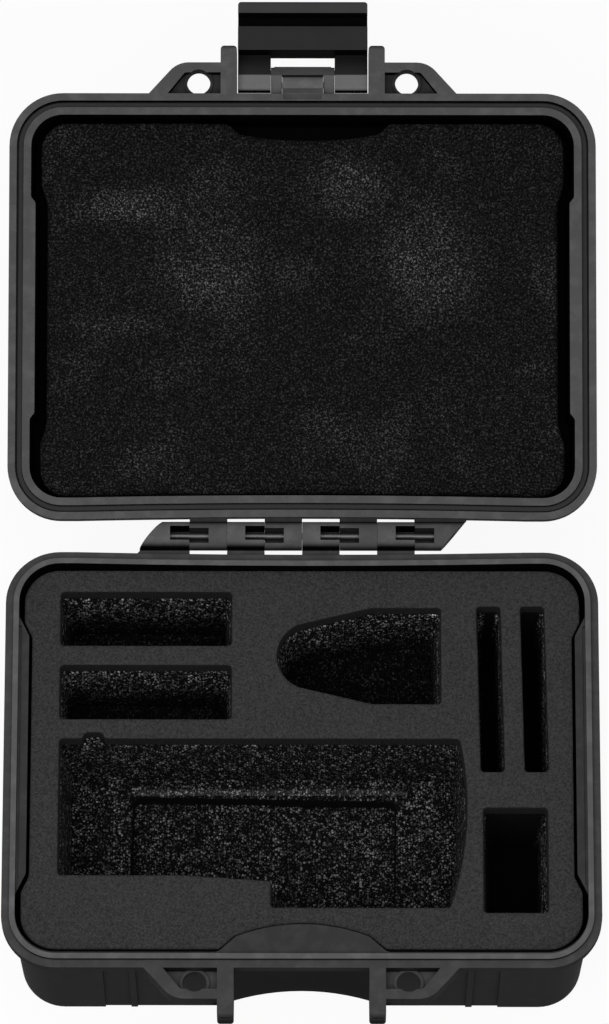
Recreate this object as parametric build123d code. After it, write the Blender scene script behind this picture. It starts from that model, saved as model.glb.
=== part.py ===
from build123d import *
from math import radians, tan
import os

# Small hard case for an action camera, shown open: a deep base with cut foam, a shallow lid
# with a foam pad, an eight knuckle hinge at the rear and one wide latch at the front.
# X runs to the right, Y from the latch side to the hinge, Z up from the base's underside.
# Everything is built closed; the lid with its latch is then turned open about the hinge.

# Overall sizes
FLANGE_WIDTH = 184.0
FLANGE_DEPTH = 135.0
FLANGE_CORNER = 16.8
REAR_BOW = 0.8
REAR_BOW_HALF = 70.0
BASE_HEIGHT = 54.5
LID_HEIGHT = 19.5
CLOSED_GAP = 0.15

# Angles
OPEN_ANGLE = 167.0
LEVER_TILT = 12.0

# Shell walls
BASE_FLANGE = 3.6
LID_FLANGE = 4.6
BASE_INSET = 1.6
BASE_SIDE_INSET = 3.2
LID_INSET = 3.4
BASE_DRAFT = 1.8
LID_DRAFT = 3.0
FLOOR = 2.5
LID_TOP = 2.4
BOTTOM_EDGE = 2.6
LID_EDGE = 4.0
PANEL_STEP = 0.9
PANEL_HALF = 61.0
RIB_FROM = 51.0
RIB_TO = 53.0

# Side recesses and the finger scoop behind the latch
SIDE_STEP = 3.2
WALL_STEP = 1.6
SIDE_FROM_FRONT = 30.2
SIDE_FROM_REAR = 27.5
SIDE_RAMP = 6.5
SIDE_ROUND = 3.0
LID_SIDE_STEP = 1.45
LID_SIDE_FROM_FRONT = 34.8
LID_SIDE_FROM_REAR = 33.5
LID_SIDE_RAMP = 1.8
LID_SIDE_ROUND = 1.5
SCOOP_RADIUS = 71.1
SCOOP_SAG = 4.8
BUMP_SHIFT = 0.3
BUMP_HALF = 25.9
BUMP_SHOULDER = 20.5
BUMP_SHOULDER_RISE = 4.9
BUMP_RISE = 8.9
BUMP_ROUND = 3.0

# Rim: ridge on the base, groove with a seal in the lid
RIDGE_INSET = 2.45
RIDGE_WIDTH = 1.75
RIDGE_HEIGHT = 1.5
LEDGE_DROP = 0.5
LEDGE_WIDTH = 1.0
NOTCH_WIDTH = 0.8
NOTCH_DEPTH = 1.2
RIDGE_OUTER_FIT = 0.1
RIDGE_INNER_FIT = 0.25
GROOVE_DEPTH = 3.2
SEAL_WIDTH = 1.4
SEAL_THICK = 1.3
SEAL_GAP = 0.15
LID_LIP = 2.4

# Guard ears and padlock hasps
EAR_INNER = 20.7
EAR_OUTER = 25.8
EAR_REACH = 15.6
EAR_FACE = 8.5
EAR_ROUND = 2.0
EAR_TIP = 1.5
EAR_ROOT = 8.0
BASE_EAR_FOOT = 27.0
LID_EAR_FOOT = 16.0
HASP_ROOT = 6.0
HASP_FOOT = 48.3
HASP_CORNER = 39.3
HASP_ROUND = 8.0
HASP_REACH = 9.9
HASP_BAND = 3.2
HASP_SLOPE_BAND = 2.3
HASP_FOOT_BAND = 5.9
HASP_HEIGHT = 7.0
WEB_DEPTH = 4.2
WEB_ROUND = 1.5
PADLOCK_RADIUS = 3.65
PADLOCK_X = 32.7
PADLOCK_OUT = 3.95
BOSS_WIDTH = 1.0
BOSS_RISE = 0.8

# Hinge
HINGE_OFFSET = 5.3
BARREL_RADIUS = 4.5
PIN_RADIUS = 1.1
RUNNING_FIT = 0.05
KNUCKLE_PAIRS = 4
KNUCKLE_PITCH = 23.4
KNUCKLE_GAP = 0.04
HINGE_END = 43.1
END_SPREAD = 8.2
PIN_INSET = 0.5
WINDOW_LENGTH = 12.0
BASE_WINDOW = (-2.5, 2.0)
LID_WINDOW = (-3.3, 1.2)
WINDOW_FLOOR = 1.6
ARM_DROP = 1.0
ARM_THICK = 3.4
ARM_ROOT = 6.0
GUSSET = 9.0

# Latch: lug on the lid, link on a pin through the lug, lever on two short pins in the link
LUG_HALF = 6.45
LUG_RADIUS = 2.9
LUG_FOOT = 14.5
LUG_ROOT = 1.5
LUG_STEP = 0.4
LUG_CHAMFER = 1.4
LUG_NOTCH_HALF = 5.9
LUG_NOTCH = 1.8
LINK_PIN_OUT = 3.6
LINK_PIN_UP = 6.0
LINK_PIN_RADIUS = 1.0
LINK_LENGTH = 4.0
LINK_OUTER = 10.0
LINK_SIDE_GAP = 0.06
LINK_EYE = 1.7
LINK_HEEL = 2.7
LINK_BAR_IN = 0.95
LINK_BAR_HALF = 1.5
LINK_BAR_INSET = 1.0
LEVER_HALF = 20.4
LEVER_PIN_RADIUS = 0.8
LEVER_PIN_LENGTH = 9.0
LEVER_PIN_INSET = 0.1
ARM_HALF = 1.8
CAM_LENGTH = 4.93
CAM_FLAT = 1.3
ARM_SLOPE_TO = 0.3
HOOK_CLEAR = 0.15
HOOK_BITE = 1.5
PLATE_LENGTH = 8.45
PLATE_FALL = 0.9
PULL_FLOOR = 0.2
PULL_GROOVE = 4.5
LIP_RISE = 4.4
LIP_LENGTH = 4.2
LIP_ROUND = 1.4
TIP_CORNER = 1.6

# Foam in the base: insets from the flange's edge, gap to the shell, levels below the rim
FOAM_SIDE = 5.7
FOAM_FRONT = 6.6
FOAM_BACK = 5.1
FOAM_CORNER = 11.0
FOAM_GAP = 0.8
FOAM_TOP = 2.5
SHEET = 5.5
SHELF_LEVEL = 35.0
RECESS_LEVEL = 42.0
LAYER_GAP = 0.02
POCKET_TAPER = 4.5
CAMERA_TAPER = 5.5
SLOT_TAPER = 2.5
RECESS_TAPER = 6.0
POCKET_ROUND = 0.8

# Pockets, placed from the foam's left, right and rear edges
LEFT_MARGIN = 11.3
REAR_MARGIN = 7.1
BATTERY_LENGTH = 53.2
BATTERY_WIDTH = 17.7
BATTERY_RIB = 6.35
CAMERA_LENGTH = 123.8
CAMERA_BULGE = 2.2
CAMERA_BULGE_BACK = 6.0
CAMERA_TUCK = 3.1
CAMERA_DEPTH = 44.2
CAMERA_FALL_AT = 38.0
CAMERA_FALL = 1.9
CAMERA_STEP_AT = 65.5
CAMERA_STEP = 10.4
NICK_IN = 6.9
NICK_LENGTH = 6.5
NICK_RISE = 1.9
NICK_SLOPE = 1.0
RECESS_IN = 22.2
RECESS_LENGTH = 82.6
RECESS_BACK = 7.9
RECESS_DEPTH = 35.0
RECESS_TURN = 1.1
RECESS_ROUND = 2.5
GRIP_LENGTH = 50.9
GRIP_WIDTH = 31.5
GRIP_TO_SLOT = 11.1
GRIP_REAR = 12.3
NOSE_IN = 7.0
NOSE_HALF = 10.3
SHOULDER_IN = 21.5
SLOT_WIDTH = 7.4
SLOT_DEPTH = 54.1
SLOT_RIB = 6.2
SLOT_SKEW = 1.0
SLOT_REAR = 11.8
SLOT_MARGIN = 11.1
CARD_WIDTH = 19.9
CARD_DEPTH = 33.8
CARD_RIB = 11.7
CARD_MARGIN = 10.5

# Foam pad in the lid
PAD_SIDE = 9.9
PAD_FRONT = 8.75
PAD_REAR = 7.9
PAD_CORNER = 8.5
PAD_LEVEL = 4.0
PAD_WAIST_STEP = 2.0
PAD_WAIST_FROM_FRONT = 34.5
PAD_WAIST_FROM_REAR = 30.5
PAD_WAIST_RAMP = 6.3
PAD_WAIST_ROUND = 4.0
NOTCH_SHIFT = 1.9
NOTCH_HALF = 25.3
NOTCH_SHOULDER = 22.2
NOTCH_SHOULDER_RISE = 3.3
NOTCH_RISE = 5.5
PAD_BACK_GAP = 0.1

# How far a cutter, or a joined root, runs past the surface that it meets, and how near
# two places count as one
PAST = 1.0
SAME = 0.01

# Places worked out from the sizes above
FRONT = -FLANGE_DEPTH / 2
REAR = FLANGE_DEPTH / 2
RIM = BASE_HEIGHT
LID_RIM = BASE_HEIGHT + CLOSED_GAP
HINGE_Y = REAR + HINGE_OFFSET
HINGE = Axis((0, HINGE_Y, RIM), (1, 0, 0))
SIDE_ENDS = (FRONT + SIDE_FROM_FRONT, REAR - SIDE_FROM_REAR)
LID_SIDE_ENDS = (FRONT + LID_SIDE_FROM_FRONT, REAR - LID_SIDE_FROM_REAR)
PAD_WAIST_ENDS = (FRONT + PAD_WAIST_FROM_FRONT, REAR - PAD_WAIST_FROM_REAR)
HOLLOW_WAIST = (SIDE_STEP, *SIDE_ENDS, SIDE_RAMP, SIDE_ROUND)
BASE_WAIST = (WALL_STEP, *SIDE_ENDS, SIDE_RAMP, SIDE_ROUND)
LID_WAIST = (LID_SIDE_STEP, *LID_SIDE_ENDS, LID_SIDE_RAMP, LID_SIDE_ROUND)
PAD_WAIST = (PAD_WAIST_STEP, *PAD_WAIST_ENDS, PAD_WAIST_RAMP, PAD_WAIST_ROUND)
RIDGE_INNER = RIDGE_INSET + RIDGE_WIDTH
CAVITY_FRONT = RIDGE_INNER + LEDGE_WIDTH
GROOVE_INSET = RIDGE_INSET - RIDGE_OUTER_FIT
GROOVE_WIDTH = RIDGE_OUTER_FIT + RIDGE_WIDTH + RIDGE_INNER_FIT
KNUCKLE_LENGTH = KNUCKLE_PITCH / 2 - KNUCKLE_GAP
LID_CAVITY_INSET = GROOVE_INSET + GROOVE_WIDTH + LID_LIP
LINK_PIN_Y = FRONT - LINK_PIN_OUT
LINK_PIN_Z = RIM + LINK_PIN_UP
LEVER_PIN_Y = LINK_PIN_Y - LINK_LENGTH
LINK_INNER = LUG_HALF + LINK_SIDE_GAP
LEVER_INNER = LINK_OUTER + LINK_SIDE_GAP
HOOK_AT = LINK_PIN_UP - LINK_LENGTH + BASE_FLANGE + HOOK_CLEAR
HOOK_RISE = LINK_PIN_OUT + HOOK_BITE
FOAM_LEFT = -FLANGE_WIDTH / 2 + FOAM_SIDE
FOAM_REAR = REAR - FOAM_BACK


def plan_block(plan, low, high):
    """Solid between two heights with the same plan throughout."""
    return extrude(Pos(0, 0, low) * plan, amount=high - low)


def drafted_down(plan, top, drop, draft):
    """Solid that hangs from height top and narrows downward by the draft angle."""
    return extrude(Pos(0, 0, top) * plan, amount=drop, dir=(0, 0, -1), taper=draft)


def drafted_up(plan, bottom, rise, draft):
    """Solid that stands on height bottom and narrows upward by the draft angle."""
    return extrude(Pos(0, 0, bottom) * plan, amount=rise, dir=(0, 0, 1), taper=draft)


def rounded_plan(inset):
    """Rounded rectangle that lies the inset inside the flange's edge."""
    return RectangleRounded(
        FLANGE_WIDTH - 2 * inset, FLANGE_DEPTH - 2 * inset, FLANGE_CORNER - inset
    )


def wall_plan(inset, side_inset):
    """Rounded rectangle with its own inset at the sides."""
    return RectangleRounded(
        FLANGE_WIDTH - 2 * side_inset, FLANGE_DEPTH - 2 * inset, FLANGE_CORNER - inset
    )


def rear_bow(inset):
    """Shallow arc by which a rear edge, the inset inside the flange's, bows inward."""
    arc = ThreePointArc((-REAR_BOW_HALF, REAR), (0, REAR - REAR_BOW), (REAR_BOW_HALF, REAR))
    return Pos(0, -inset) * make_face([arc, Line((REAR_BOW_HALF, REAR), (-REAR_BOW_HALF, REAR))])


def rim_plan(inset):
    """Outline of a rim feature, whose rear edge bows inward like the flange's."""
    return rounded_plan(inset) - rear_bow(inset)


def waist_cut(edge, waist, side):
    """Trapezoid that narrows a plan at the middle of one side."""
    step, front, rear, ramp, _ = waist
    points = [
        (edge + step, front - ramp),
        (edge, front - ramp),
        (edge - step, front),
        (edge - step, rear),
        (edge, rear + ramp),
        (edge + step, rear + ramp),
    ]
    return make_face(Polyline([(side * x, y) for x, y in points], close=True))


def waisted(plan, edge, waist):
    """Plan narrowed along both its sides, with the ramps' ends rounded."""
    _, front, rear, ramp, radius = waist
    plan = plan - waist_cut(edge, waist, 1) - waist_cut(edge, waist, -1)
    ends = [front - ramp, front, rear, rear + ramp]
    corners = [v for v in plan.vertices() if min(abs(v.Y - end) for end in ends) < SAME]
    return fillet(corners, radius)


def waisted_rim(inset, waist):
    """Bowed rim outline narrowed along both sides."""
    return waisted(rim_plan(inset), FLANGE_WIDTH / 2 - inset, waist)


def waisted_walls(inset, side_inset, waist):
    """Rounded rectangle narrowed along both sides, for the outer walls."""
    plan = wall_plan(inset, side_inset)
    return waisted(plan, FLANGE_WIDTH / 2 - side_inset, waist)


def panel_cuts(inset, start, end, draft):
    """Cutters by which the walls between the corner bumpers lie back, leaving two ribs."""
    wall = FRONT + inset + PANEL_STEP
    lean = abs(end - start) * tan(radians(draft))
    outside = FRONT - PAST
    points = [(wall, start), (wall + lean, end), (outside, end), (outside, start)]
    profile = make_face(Polyline([Vector(0, y, z) for y, z in points], close=True))
    cuts = across(profile, -RIB_FROM, RIB_FROM)
    cuts += across(profile, RIB_TO, PANEL_HALF)
    cuts += across(profile, -PANEL_HALF, -RIB_TO)
    return cuts + mirror(cuts, about=Plane.XZ)


def scoop():
    """Round hollow in the front wall behind the latch."""
    wall = FRONT + BASE_INSET + PANEL_STEP
    return Pos(0, wall + SCOOP_SAG - SCOOP_RADIUS) * Circle(SCOOP_RADIUS)


def arch(wall, shift, half, shoulder, shoulder_rise, rise):
    """Flat arch with sloping ends that stands on a line across X."""
    left = [(shift - half, wall), (shift - shoulder, wall + shoulder_rise)]
    right = [(shift + shoulder, wall + shoulder_rise), (shift + half, wall)]
    top = ThreePointArc(left[1], (shift, wall + rise), right[0])
    under = Polyline([right[1], (shift + half, wall - PAST), (shift - half, wall - PAST), left[0]])
    return make_face([Line(*left), top, Line(*right), under])


def without_bump(plan):
    """Takes the arched shelf over the scoop out of a hollow's plan, with its turns rounded."""
    wall = FRONT + CAVITY_FRONT
    shelf = arch(wall, BUMP_SHIFT, BUMP_HALF, BUMP_SHOULDER, BUMP_SHOULDER_RISE, BUMP_RISE)
    plan = plan - shelf
    turns = [wall, wall + BUMP_SHOULDER_RISE]
    corners = [
        v
        for v in plan.vertices()
        if abs(v.X - BUMP_SHIFT) < BUMP_HALF + PAST and min(abs(v.Y - turn) for turn in turns) < SAME
    ]
    return fillet(corners, BUMP_ROUND)


def hollow_plan():
    """Hollow inside the ridge, with a ledge along the front and a straight rear edge."""
    width = FLANGE_WIDTH - 2 * RIDGE_INNER
    depth = FLANGE_DEPTH - CAVITY_FRONT - RIDGE_INNER
    plan = Pos(0, LEDGE_WIDTH / 2) * RectangleRounded(width, depth, FLANGE_CORNER - RIDGE_INNER)
    return without_bump(waisted(plan, width / 2, HOLLOW_WAIST))


def cavity_plan():
    """Plan of the base's hollow, whose rear wall bows inward."""
    return hollow_plan() - rear_bow(RIDGE_INNER)


def notch_plan():
    """Narrow notch beside the ridge, along the wide parts of the side ledges."""
    front, rear = SIDE_ENDS
    ring = rim_plan(RIDGE_INNER) - rim_plan(RIDGE_INNER + NOTCH_WIDTH)
    return ring & Pos(0, (front + rear) / 2) * Rectangle(FLANGE_WIDTH, rear - front + SIDE_RAMP)


def foam_plan():
    """Plan of the base's foam, with gaps to the hollow's walls."""
    plan = offset(hollow_plan(), -FOAM_GAP, kind=Kind.INTERSECTION)
    width = FLANGE_WIDTH - 2 * FOAM_SIDE
    depth = FLANGE_DEPTH - FOAM_FRONT - FOAM_BACK
    block = RectangleRounded(width, depth, FOAM_CORNER)
    return plan & Pos(0, (FOAM_FRONT - FOAM_BACK) / 2) * block


def side_profile(points):
    """Face in the YZ plane from (distance outward from the front edge, height) points."""
    return make_face(Polyline([Vector(0, FRONT - out, z) for out, z in points], close=True))


def across(profile, left, right):
    """Solid that sweeps a YZ profile along X between two places."""
    return extrude(Pos(left, 0, 0) * profile, amount=right - left, dir=(1, 0, 0))


def x_rod(y, z, radius, left, right):
    """Rod along X between two places."""
    middle = Pos((left + right) / 2, y, z) * Rot(0, 90, 0)
    return middle * Cylinder(radius, right - left)


def ears(foot):
    """Pair of ribs that guard the latch, under the rim."""
    profile = side_profile(
        [
            (-EAR_ROOT, RIM),
            (EAR_REACH, RIM),
            (EAR_REACH, RIM - EAR_FACE),
            (-EAR_ROOT, RIM - foot),
        ]
    )
    tips = profile.vertices().sort_by(Axis.Y)[:2]
    profile = fillet(tips, EAR_ROUND)
    plan = Rectangle(
        EAR_OUTER - EAR_INNER, EAR_REACH + EAR_ROOT, align=(Align.CENTER, Align.MIN)
    )
    plan = fillet(plan.vertices().sort_by(Axis.Y)[:2], EAR_TIP)
    pair = Part()
    for side in (-1, 1):
        middle = side * (EAR_INNER + EAR_OUTER) / 2
        column = plan_block(Pos(middle, FRONT - EAR_REACH) * plan, RIM - foot, RIM)
        pair += across(profile, middle - EAR_OUTER, middle + EAR_OUTER) & column
    return pair


def hasp_face(side, points, corner, radius):
    """Outline beside an ear from (place along X, distance outward) points, one corner rounded."""
    face = make_face(Polyline([(side * x, FRONT - out) for x, out in points], close=True))
    tip = [v for v in face.vertices() if abs(abs(v.X) - corner) < SAME]
    return fillet(tip, radius)


def hasp(side):
    """Padlock eye beside an ear: a band round a recessed web with a boss and a round hole."""
    ear = (EAR_INNER + EAR_OUTER) / 2
    outline = [
        (ear, -HASP_ROOT),
        (HASP_FOOT, -HASP_ROOT),
        (HASP_FOOT, 0.0),
        (HASP_CORNER, HASP_REACH),
        (ear, HASP_REACH),
    ]
    inner = HASP_REACH - HASP_BAND
    web_corner = HASP_CORNER - HASP_SLOPE_BAND
    pocket = [(ear, 0.0), (HASP_FOOT - HASP_FOOT_BAND, 0.0), (web_corner, inner), (ear, inner)]
    bottom = RIM - HASP_HEIGHT
    body = plan_block(hasp_face(side, outline, HASP_CORNER, HASP_ROUND), bottom, RIM)
    body -= plan_block(hasp_face(side, pocket, web_corner, WEB_ROUND), RIM - WEB_DEPTH, RIM + PAST)
    boss = Circle(PADLOCK_RADIUS + BOSS_WIDTH)
    body += plan_block(padlock_place(side) * boss, bottom, RIM - WEB_DEPTH + BOSS_RISE)
    return body - padlock_cut(side)


def padlock_place(side):
    """Where the padlock hole stands in the plan."""
    return Pos(side * PADLOCK_X, FRONT - PADLOCK_OUT)


def padlock_cut(side):
    """Cutter for one padlock hole."""
    hole = Circle(PADLOCK_RADIUS)
    return plan_block(padlock_place(side) * hole, RIM - 2 * HASP_HEIGHT, RIM + PAST)


def to_lid(shape):
    """The lid carries a base feature upside down, across the closed gap."""
    return mirror(shape, about=Plane((0, 0, RIM + CLOSED_GAP / 2), z_dir=(0, 0, 1)))


def pair_middle(index):
    """Place along X between the two knuckles of a pair, counted from the left."""
    return (index - (KNUCKLE_PAIRS - 1) / 2) * KNUCKLE_PITCH


def knuckle_spans(owner):
    """Places along X of one shell's knuckles, left to right; owner 0 is the base, 1 the lid."""
    spans = []
    for index in range(KNUCKLE_PAIRS):
        middle = pair_middle(index)
        left = middle + KNUCKLE_GAP / 2 if owner else middle - KNUCKLE_GAP / 2 - KNUCKLE_LENGTH
        right = left + KNUCKLE_LENGTH
        spans.append((max(left, -HINGE_END), min(right, HINGE_END)))
    return spans


def barrel_windows(near, far):
    """Openings in the barrels' tops, one centred on each pair of knuckles."""
    cuts = Part()
    for index in range(KNUCKLE_PAIRS):
        place = Pos(pair_middle(index), HINGE_Y + (near + far) / 2, RIM - WINDOW_FLOOR)
        box = Box(
            WINDOW_LENGTH, far - near, 2 * BARREL_RADIUS, align=(Align.CENTER, Align.CENTER, Align.MIN)
        )
        cuts += place * box
    return cuts


def hinge_arm(left, right):
    """One knuckle under the rim: barrel, arm to the flange and a gusset below it."""
    low = RIM - ARM_DROP - ARM_THICK - GUSSET
    arm = [
        (HINGE_Y, RIM - ARM_DROP),
        (REAR - ARM_ROOT, RIM - ARM_DROP),
        (REAR - ARM_ROOT, low),
        (REAR - BASE_INSET - PANEL_STEP, low),
        (HINGE_Y, RIM - BARREL_RADIUS),
    ]
    profile = make_face(Polyline([Vector(0, y, z) for y, z in arm], close=True))
    return across(profile, left, right) + x_rod(HINGE_Y, RIM, BARREL_RADIUS, left, right)


def spread_end(outer, side):
    """Wedge by which an end knuckle widens from its barrel's tip to the flange."""
    root = REAR - REAR_BOW - PAST
    arm = [
        (HINGE_Y, RIM - ARM_DROP),
        (root, RIM - ARM_DROP),
        (root, RIM - BASE_FLANGE),
        (HINGE_Y, RIM - BASE_FLANGE),
    ]
    profile = make_face(Polyline([Vector(0, y, z) for y, z in arm], close=True))
    wide = outer + side * END_SPREAD
    left, right = sorted((outer, wide))
    solid = across(profile, left, right) + x_rod(HINGE_Y, RIM, BARREL_RADIUS, left, right)
    wedge = [(outer, root), (outer, HINGE_Y + BARREL_RADIUS), (wide, REAR), (wide, root)]
    face = make_face(Polyline(wedge, close=True))
    return solid & plan_block(face, RIM - BARREL_RADIUS - PAST, RIM + BARREL_RADIUS + PAST)


def base_hinge():
    """The base's knuckles; the first one spreads to the left where it joins the flange."""
    knuckles = spread_end(-HINGE_END, -1)
    for left, right in knuckle_spans(0):
        knuckles += hinge_arm(left, right)
    return knuckles


def lid_hinge():
    """The lid's knuckles, closed; the last one spreads to the right at the flange."""
    knuckles = spread_end(HINGE_END, 1)
    for left, right in knuckle_spans(1):
        knuckles += hinge_arm(left, right)
    return mirror(knuckles, about=Plane((0, 0, RIM), z_dir=(0, 0, 1)))


def opened(shape):
    """Turns a closed lid piece about the hinge to where the open lid rests."""
    return shape.rotate(HINGE, -OPEN_ANGLE)


def pin_bore():
    """Cutter for the hinge pin's bore, with running clearance."""
    return x_rod(HINGE_Y, RIM, PIN_RADIUS + RUNNING_FIT, -FLANGE_WIDTH / 2, FLANGE_WIDTH / 2)


def base_shell():
    """Lower half: drafted tub with flange, ridge, ears, hasps and hinge knuckles."""
    outer = waisted_walls(BASE_INSET, BASE_SIDE_INSET, BASE_WAIST) - scoop()
    envelope = wall_plan(BASE_INSET, BASE_SIDE_INSET)
    envelope = drafted_down(envelope, RIM, BASE_HEIGHT, BASE_DRAFT)
    envelope = fillet(envelope.faces().sort_by(Axis.Z)[0].edges(), BOTTOM_EDGE)
    body = drafted_down(outer, RIM, BASE_HEIGHT, BASE_DRAFT) & envelope
    body -= panel_cuts(BASE_INSET, RIM, 0, BASE_DRAFT)
    body += plan_block(rim_plan(0), RIM - BASE_FLANGE, RIM)
    body += ears(BASE_EAR_FOOT) + hasp(1) + hasp(-1) + base_hinge()
    body += plan_block(rim_plan(RIDGE_INSET), RIM, RIM + RIDGE_HEIGHT)
    body -= padlock_cut(1) + padlock_cut(-1)
    ledge = RIM - LEDGE_DROP
    body -= plan_block(rim_plan(RIDGE_INNER), ledge, RIM + RIDGE_HEIGHT + PAST)
    body -= drafted_down(cavity_plan(), ledge, ledge - FLOOR, BASE_DRAFT)
    body -= plan_block(notch_plan(), RIM - NOTCH_DEPTH, RIM)
    body -= pin_bore()
    return body - barrel_windows(*BASE_WINDOW)


def lid_shell():
    """Upper half, closed: shallow drafted cover with groove, ears, hasps, lug and knuckles."""
    outer = waisted_walls(LID_INSET, LID_INSET, LID_WAIST)
    tall = LID_HEIGHT - CLOSED_GAP
    envelope = drafted_up(rounded_plan(LID_INSET), LID_RIM, tall, LID_DRAFT)
    envelope = fillet(envelope.faces().sort_by(Axis.Z)[-1].edges(), LID_EDGE)
    body = drafted_up(outer, LID_RIM, tall, LID_DRAFT) & envelope
    body -= panel_cuts(LID_INSET, LID_RIM, LID_RIM + tall, LID_DRAFT)
    body += plan_block(rim_plan(0), LID_RIM, LID_RIM + LID_FLANGE)
    body += to_lid(ears(LID_EAR_FOOT) + hasp(1) + hasp(-1)) + lid_hinge() + lug()
    body -= to_lid(padlock_cut(1) + padlock_cut(-1)) + lug_notch()
    cavity = waisted_rim(LID_CAVITY_INSET, LID_WAIST)
    depth = LID_HEIGHT - LID_TOP - CLOSED_GAP
    body -= plan_block(cavity, LID_RIM - PAST, LID_RIM)
    body -= drafted_up(cavity, LID_RIM, depth, LID_DRAFT)
    groove = rim_plan(GROOVE_INSET) - rim_plan(GROOVE_INSET + GROOVE_WIDTH)
    body -= plan_block(groove, LID_RIM - PAST, LID_RIM + GROOVE_DEPTH)
    body -= pin_bore()
    body -= barrel_windows(*LID_WINDOW).rotate(HINGE, OPEN_ANGLE)
    return body - x_rod(LINK_PIN_Y, LINK_PIN_Z, LINK_PIN_RADIUS, -LINK_OUTER, LINK_OUTER)


def lug():
    """Post in the middle of the lid's front edge that carries the latch link."""
    root = -LID_INSET - LUG_ROOT
    profile = side_profile(
        [
            (-PAST, LID_RIM + LUG_STEP),
            (0.0, LID_RIM + LUG_STEP),
            (LINK_PIN_OUT - LUG_CHAMFER, LINK_PIN_Z - LUG_RADIUS),
            (LINK_PIN_OUT, LINK_PIN_Z - LUG_RADIUS),
            (LINK_PIN_OUT, LINK_PIN_Z + LUG_RADIUS),
            (root, RIM + LUG_FOOT),
            (root, LID_RIM + LID_FLANGE - LUG_STEP),
            (-PAST, LID_RIM + LID_FLANGE - LUG_STEP),
        ]
    )
    nose = x_rod(LINK_PIN_Y, LINK_PIN_Z, LUG_RADIUS, -LUG_HALF, LUG_HALF)
    return across(profile, -LUG_HALF, LUG_HALF) + nose


def lug_notch():
    """Shallow notch by which the lug's face runs on across the lid's rim."""
    face = Rectangle(2 * LUG_NOTCH_HALF, LUG_NOTCH + PAST, align=(Align.CENTER, Align.MAX))
    return plan_block(Pos(0, FRONT + LUG_NOTCH) * face, LID_RIM - PAST, LID_RIM + LUG_STEP)


def lid_seal():
    """Square cord in the bottom of the lid's groove, near its inner side."""
    inner = GROOVE_INSET + GROOVE_WIDTH - SEAL_GAP
    ring = rim_plan(inner - SEAL_WIDTH) - rim_plan(inner)
    bottom = LID_RIM + GROOVE_DEPTH
    return plan_block(ring, bottom - SEAL_THICK, bottom)


def hinge_pin():
    """One long pin through all the knuckles."""
    reach = HINGE_END - PIN_INSET
    return x_rod(HINGE_Y, RIM, PIN_RADIUS, -reach, reach)


def latch_link():
    """Bridge shaped link: two legs beside the lug and a bar round its end."""
    leg = make_face(
        Polyline(
            [
                Vector(0, LINK_PIN_Y + LINK_HEEL, LINK_PIN_Z - LINK_EYE),
                Vector(0, LEVER_PIN_Y, LINK_PIN_Z - LINK_EYE),
                Vector(0, LEVER_PIN_Y, LINK_PIN_Z + LINK_EYE),
                Vector(0, LINK_PIN_Y + LINK_HEEL, LINK_PIN_Z + LINK_EYE),
            ],
            close=True,
        )
    )
    body = Part()
    for left, right in ((-LINK_OUTER, -LINK_INNER), (LINK_INNER, LINK_OUTER)):
        body += across(leg, left, right)
        body += x_rod(LEVER_PIN_Y, LINK_PIN_Z, LINK_EYE, left, right)
    bar_depth = LINK_BAR_IN + LINK_EYE
    bar_y = LEVER_PIN_Y + LINK_BAR_IN - bar_depth / 2
    bar_length = 2 * (LINK_OUTER - LINK_BAR_INSET)
    body += Pos(0, bar_y, LINK_PIN_Z) * Box(bar_length, bar_depth, 2 * LINK_BAR_HALF)
    past = LINK_OUTER + PAST
    body -= x_rod(LINK_PIN_Y, LINK_PIN_Z, LINK_PIN_RADIUS + RUNNING_FIT, -past, past)
    for side in (-1, 1):
        ends = sorted((side * LINK_INNER, side * past))
        body -= x_rod(LEVER_PIN_Y, LINK_PIN_Z, LEVER_PIN_RADIUS + RUNNING_FIT, *ends)
    return body


def link_pin():
    """Pin pressed into the lid's lug, on which the link turns."""
    return x_rod(LINK_PIN_Y, LINK_PIN_Z, LINK_PIN_RADIUS, -LINK_OUTER, LINK_OUTER)


def lever_face(points):
    """YZ face from (distance past the lever pin, height of the inner side) points."""
    placed = [Vector(0, LEVER_PIN_Y - along, LINK_PIN_Z - rise) for along, rise in points]
    return make_face(Polyline(placed, close=True))


def tilted(shape):
    """Turns a lever piece about its pins to where it hangs in the open case."""
    pins = Axis((0, LEVER_PIN_Y, LINK_PIN_Z), (1, 0, 0))
    return shape.rotate(pins, -LEVER_TILT)


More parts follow.
